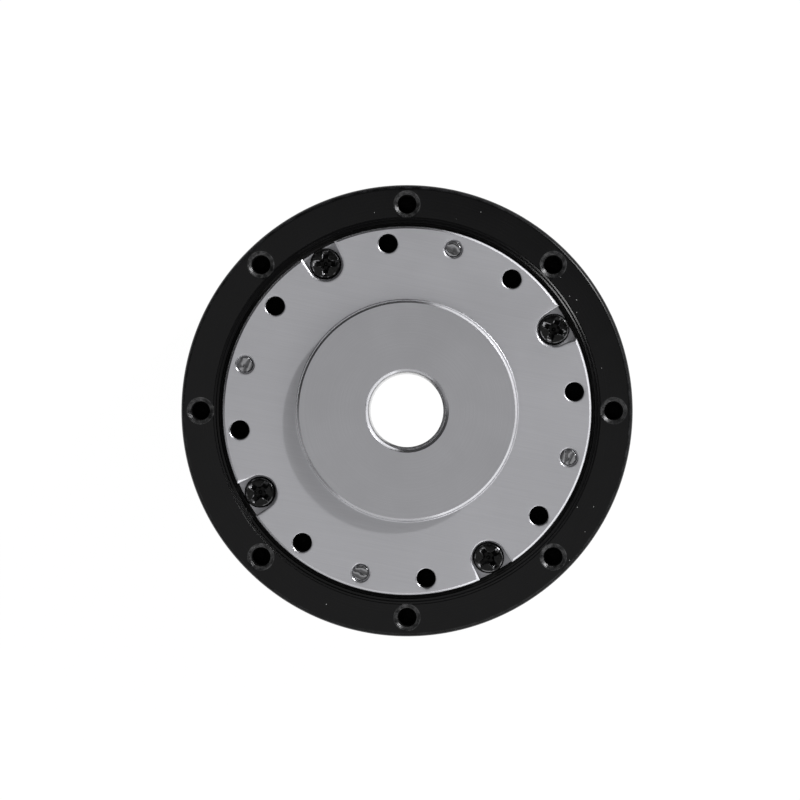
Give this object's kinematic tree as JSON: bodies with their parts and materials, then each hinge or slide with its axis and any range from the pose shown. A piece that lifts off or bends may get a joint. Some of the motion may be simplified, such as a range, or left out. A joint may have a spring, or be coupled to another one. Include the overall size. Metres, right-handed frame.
{
  "type": "cycloidal reducer",
  "caption": "Flat hollow-shaft cycloidal reducer: black pin-ring housing, grey output flange with centring boss and threaded holes, cycloid discs, eccentric shaft and crossed-roller bearing.",
  "frame": {"origin": "on the reducer's axis, in the plane of the rear cover's mounting face (the middle of the bounding box's bottom)", "axes": "+Z along the reducer's axis, out of the output side; +X through one of the housing's mounting holes; +Y through the hole a quarter turn further"},
  "size_m": [0.07, 0.07, 0.031],
  "materials": {
    "housing_black": "satin black, fine turned surface",
    "cover_black": "satin black",
    "screw_black": "black oxide",
    "rubber": "moulded rubber",
    "flange_steel": "finely ground grey steel",
    "carrier_steel": "turned steel",
    "dowel_steel": "ground pin with a marked end",
    "shaft_steel": "ground journals",
    "disc_steel": "hardened and ground",
    "race_steel": "ground bearing steel",
    "roller_steel": "polished bearing steel",
    "ball_steel": "polished bearing steel",
    "spring_steel": "blued spring steel",
    "cage_brass": "machined brass",
    "spacer_plastic": "moulded plastic"
  },
  "bodies": {
    "fixed_housing": {"housing": "housing_black", "ring_pins": "roller_steel", "rear_cover": "cover_black", "cover_screws": "screw_black", "cover_o_ring": "rubber", "flange_seal": "rubber", "rear_shaft_seal": "rubber", "rear_bearing_outer_race": "race_steel"},
    "output": {"output_flange": "flange_steel", "pin_carrier": "carrier_steel", "flange_screws": "screw_black", "dowel_pins": "dowel_steel", "output_pins": "roller_steel", "front_bearing_outer_race": "race_steel", "front_shaft_seal": "rubber"},
    "input": {"input_shaft": "shaft_steel", "shaft_snap_ring": "spring_steel", "front_bearing_inner_race": "race_steel", "rear_bearing_inner_race": "race_steel"},
    "front_disc": {"cycloid_disc_front": "disc_steel"},
    "rear_disc": {"cycloid_disc_rear": "disc_steel"},
    "front_needle_set": {"front_cam_needles": "roller_steel", "front_cam_cage": "cage_brass"},
    "rear_needle_set": {"rear_cam_needles": "roller_steel", "rear_cam_cage": "cage_brass"},
    "main_roller_set": {"main_rollers": "roller_steel", "roller_spacers": "spacer_plastic"},
    "front_ball_set": {"front_bearing_balls": "ball_steel", "front_bearing_cage": "cage_brass"},
    "rear_ball_set": {"rear_bearing_balls": "ball_steel", "rear_bearing_cage": "cage_brass"},
    "sleeve_1": {"pin_sleeve_1": "roller_steel"},
    "sleeve_2": {"pin_sleeve_2": "roller_steel"},
    "sleeve_3": {"pin_sleeve_3": "roller_steel"},
    "sleeve_4": {"pin_sleeve_4": "roller_steel"},
    "sleeve_5": {"pin_sleeve_5": "roller_steel"},
    "sleeve_6": {"pin_sleeve_6": "roller_steel"},
    "sleeve_7": {"pin_sleeve_7": "roller_steel"},
    "sleeve_8": {"pin_sleeve_8": "roller_steel"}
  },
  "joints": [
    {"name": "output_turn", "type": "hinge", "parent": "fixed_housing", "child": "output", "pos_m": [0, 0, 0], "axis": [0, 0, 1], "continuous": true},
    {"name": "input_turn", "type": "hinge", "parent": "fixed_housing", "child": "input", "pos_m": [0, 0, 0], "axis": [0, 0, 1], "continuous": true},
    {"name": "front_disc_turn", "type": "hinge", "parent": "input", "child": "front_disc", "pos_m": [0.0006, 0, 0], "axis": [0, 0, 1], "continuous": true},
    {"name": "rear_disc_turn", "type": "hinge", "parent": "input", "child": "rear_disc", "pos_m": [-0.0006, 0, 0], "axis": [0, 0, 1], "continuous": true},
    {"name": "front_needle_turn", "type": "hinge", "parent": "input", "child": "front_needle_set", "pos_m": [0.0006, 0, 0], "axis": [0, 0, 1], "continuous": true},
    {"name": "rear_needle_turn", "type": "hinge", "parent": "input", "child": "rear_needle_set", "pos_m": [-0.0006, 0, 0], "axis": [0, 0, 1], "continuous": true},
    {"name": "main_roller_turn", "type": "hinge", "parent": "fixed_housing", "child": "main_roller_set", "pos_m": [0, 0, 0], "axis": [0, 0, 1], "continuous": true},
    {"name": "front_ball_turn", "type": "hinge", "parent": "fixed_housing", "child": "front_ball_set", "pos_m": [0, 0, 0], "axis": [0, 0, 1], "continuous": true},
    {"name": "rear_ball_turn", "type": "hinge", "parent": "fixed_housing", "child": "rear_ball_set", "pos_m": [0, 0, 0], "axis": [0, 0, 1], "continuous": true},
    {"name": "sleeve_1_turn", "type": "hinge", "parent": "output", "child": "sleeve_1", "pos_m": [0.0175, 0, 0], "axis": [0, 0, 1], "continuous": true},
    {"name": "sleeve_2_turn", "type": "hinge", "parent": "output", "child": "sleeve_2", "pos_m": [0.01237, 0.01237, 0], "axis": [0, 0, 1], "continuous": true},
    {"name": "sleeve_3_turn", "type": "hinge", "parent": "output", "child": "sleeve_3", "pos_m": [0, 0.0175, 0], "axis": [0, 0, 1], "continuous": true},
    {"name": "sleeve_4_turn", "type": "hinge", "parent": "output", "child": "sleeve_4", "pos_m": [-0.01237, 0.01237, 0], "axis": [0, 0, 1], "continuous": true},
    {"name": "sleeve_5_turn", "type": "hinge", "parent": "output", "child": "sleeve_5", "pos_m": [-0.0175, 0, 0], "axis": [0, 0, 1], "continuous": true},
    {"name": "sleeve_6_turn", "type": "hinge", "parent": "output", "child": "sleeve_6", "pos_m": [-0.01237, -0.01237, 0], "axis": [0, 0, 1], "continuous": true},
    {"name": "sleeve_7_turn", "type": "hinge", "parent": "output", "child": "sleeve_7", "pos_m": [0, -0.0175, 0], "axis": [0, 0, 1], "continuous": true},
    {"name": "sleeve_8_turn", "type": "hinge", "parent": "output", "child": "sleeve_8", "pos_m": [0.01237, -0.01237, 0], "axis": [0, 0, 1], "continuous": true}
  ],
  "couplings": [
    {"joint": "input_turn", "follows": "output_turn", "ratio": -31},
    {"joint": "front_disc_turn", "follows": "output_turn", "ratio": 32},
    {"joint": "rear_disc_turn", "follows": "output_turn", "ratio": 32},
    {"joint": "front_needle_turn", "follows": "output_turn", "ratio": 17.732},
    {"joint": "rear_needle_turn", "follows": "output_turn", "ratio": 17.732},
    {"joint": "main_roller_turn", "follows": "output_turn", "ratio": 0.489},
    {"joint": "front_ball_turn", "follows": "output_turn", "ratio": -13.578},
    {"joint": "rear_ball_turn", "follows": "output_turn", "ratio": -14.181},
    {"joint": "sleeve_1_turn", "follows": "output_turn", "ratio": 6.4},
    {"joint": "sleeve_2_turn", "follows": "output_turn", "ratio": 6.4},
    {"joint": "sleeve_3_turn", "follows": "output_turn", "ratio": 6.4},
    {"joint": "sleeve_4_turn", "follows": "output_turn", "ratio": 6.4},
    {"joint": "sleeve_5_turn", "follows": "output_turn", "ratio": 6.4},
    {"joint": "sleeve_6_turn", "follows": "output_turn", "ratio": 6.4},
    {"joint": "sleeve_7_turn", "follows": "output_turn", "ratio": 6.4},
    {"joint": "sleeve_8_turn", "follows": "output_turn", "ratio": 6.4}
  ]
}
